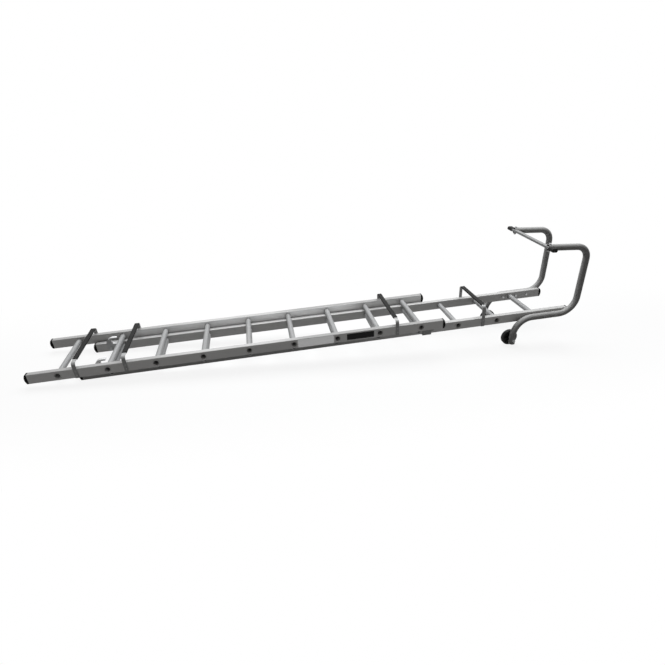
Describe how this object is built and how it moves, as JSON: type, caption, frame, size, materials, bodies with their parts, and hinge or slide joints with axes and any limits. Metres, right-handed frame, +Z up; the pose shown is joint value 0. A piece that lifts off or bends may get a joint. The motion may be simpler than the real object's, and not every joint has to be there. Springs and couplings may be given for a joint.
{
  "type": "roof ladder",
  "caption": "Extending roof ladder with box stiles, round rungs, rubber-faced roof bearers and a wheeled tubular hook that hangs it from the ridge.",
  "frame": {"origin": "on the floor under the middle of the ladder's length and width, with the ladder closed and lying on its wheels and on the lower end of its hook section", "axes": "+X along the floor from the lower end to the ridge hook, +Y across the ladder to its left side, +Z up; the stiles rise towards +X by about 3.7 degrees"},
  "size_m": [3.1756, 0.4924, 0.665],
  "materials": {
    "stile_aluminium": "mill finish",
    "rung_aluminium": "satin",
    "strip_aluminium": "satin",
    "cast_aluminium": "cast",
    "rivet_aluminium": "satin",
    "hook_tube": "mill finish",
    "plated_steel": "zinc plated",
    "black_plastic": "moulded",
    "black_rubber": "matt",
    "wheel_plastic": "moulded"
  },
  "bodies": {
    "base_section": {"base_stile_left": "stile_aluminium", "base_stile_right": "stile_aluminium", "base_rung_1": "rung_aluminium", "base_rung_2": "rung_aluminium", "base_rung_3": "rung_aluminium", "base_rung_4": "rung_aluminium", "base_rung_5": "rung_aluminium", "base_rung_6": "rung_aluminium", "base_rung_7": "rung_aluminium", "base_rung_8": "rung_aluminium", "base_rung_9": "rung_aluminium", "base_lower_cap_left": "black_plastic", "base_lower_cap_right": "black_plastic", "base_upper_cap_left": "black_plastic", "base_upper_cap_right": "black_plastic", "lower_bearer_strap": "strip_aluminium", "second_bearer_strap": "strip_aluminium", "upper_bearer_strap": "strip_aluminium", "lower_bearer_rubber": "black_rubber", "second_bearer_rubber": "black_rubber", "upper_bearer_rubber": "black_rubber", "guide_bracket_left": "cast_aluminium", "guide_bracket_right": "cast_aluminium", "bearer_rivets": "rivet_aluminium", "guide_rivets": "rivet_aluminium"},
    "hook_section": {"hook_stile_left": "stile_aluminium", "hook_stile_right": "stile_aluminium", "hook_rung_1": "rung_aluminium", "hook_rung_2": "rung_aluminium", "hook_rung_3": "rung_aluminium", "hook_rung_4": "rung_aluminium", "hook_rung_5": "rung_aluminium", "hook_rung_6": "rung_aluminium", "hook_rung_7": "rung_aluminium", "hook_rung_8": "rung_aluminium", "hook_rung_9": "rung_aluminium", "hook_rung_10": "rung_aluminium", "hook_rung_11": "rung_aluminium", "hook_lower_cap_left": "black_plastic", "hook_lower_cap_right": "black_plastic", "hook_upper_cap_left": "black_plastic", "hook_upper_cap_right": "black_plastic", "ridge_bearer_strap": "strip_aluminium", "ridge_bearer_rubber": "black_rubber", "ridge_bearer_rivets": "rivet_aluminium", "stay_hook_left": "cast_aluminium", "stay_hook_right": "cast_aluminium", "stay_hook_bolts": "plated_steel", "ridge_hook_tube_left": "hook_tube", "ridge_hook_tube_right": "hook_tube", "ridge_hook_bolts": "plated_steel", "ridge_bar": "strip_aluminium", "ridge_bar_bolts": "plated_steel", "ridge_bar_rubber_left": "black_rubber", "ridge_bar_rubber_right": "black_rubber", "axle_bolt_left": "plated_steel", "axle_bolt_right": "plated_steel"},
    "wheel_left": {"wheel_left": "wheel_plastic"},
    "wheel_right": {"wheel_right": "wheel_plastic"}
  },
  "joints": [
    {"name": "section_slide", "type": "slide", "parent": "base_section", "child": "hook_section", "axis": [0.9979, 0, 0.0652], "range_m": [0, 1.54]},
    {"name": "wheel_left_turn", "type": "hinge", "parent": "hook_section", "child": "wheel_left", "pos_m": [1.19035, 0.1467, 0.05], "axis": [0, 1, 0], "continuous": true},
    {"name": "wheel_right_turn", "type": "hinge", "parent": "hook_section", "child": "wheel_right", "pos_m": [1.19035, -0.1467, 0.05], "axis": [0, 1, 0], "continuous": true}
  ]
}
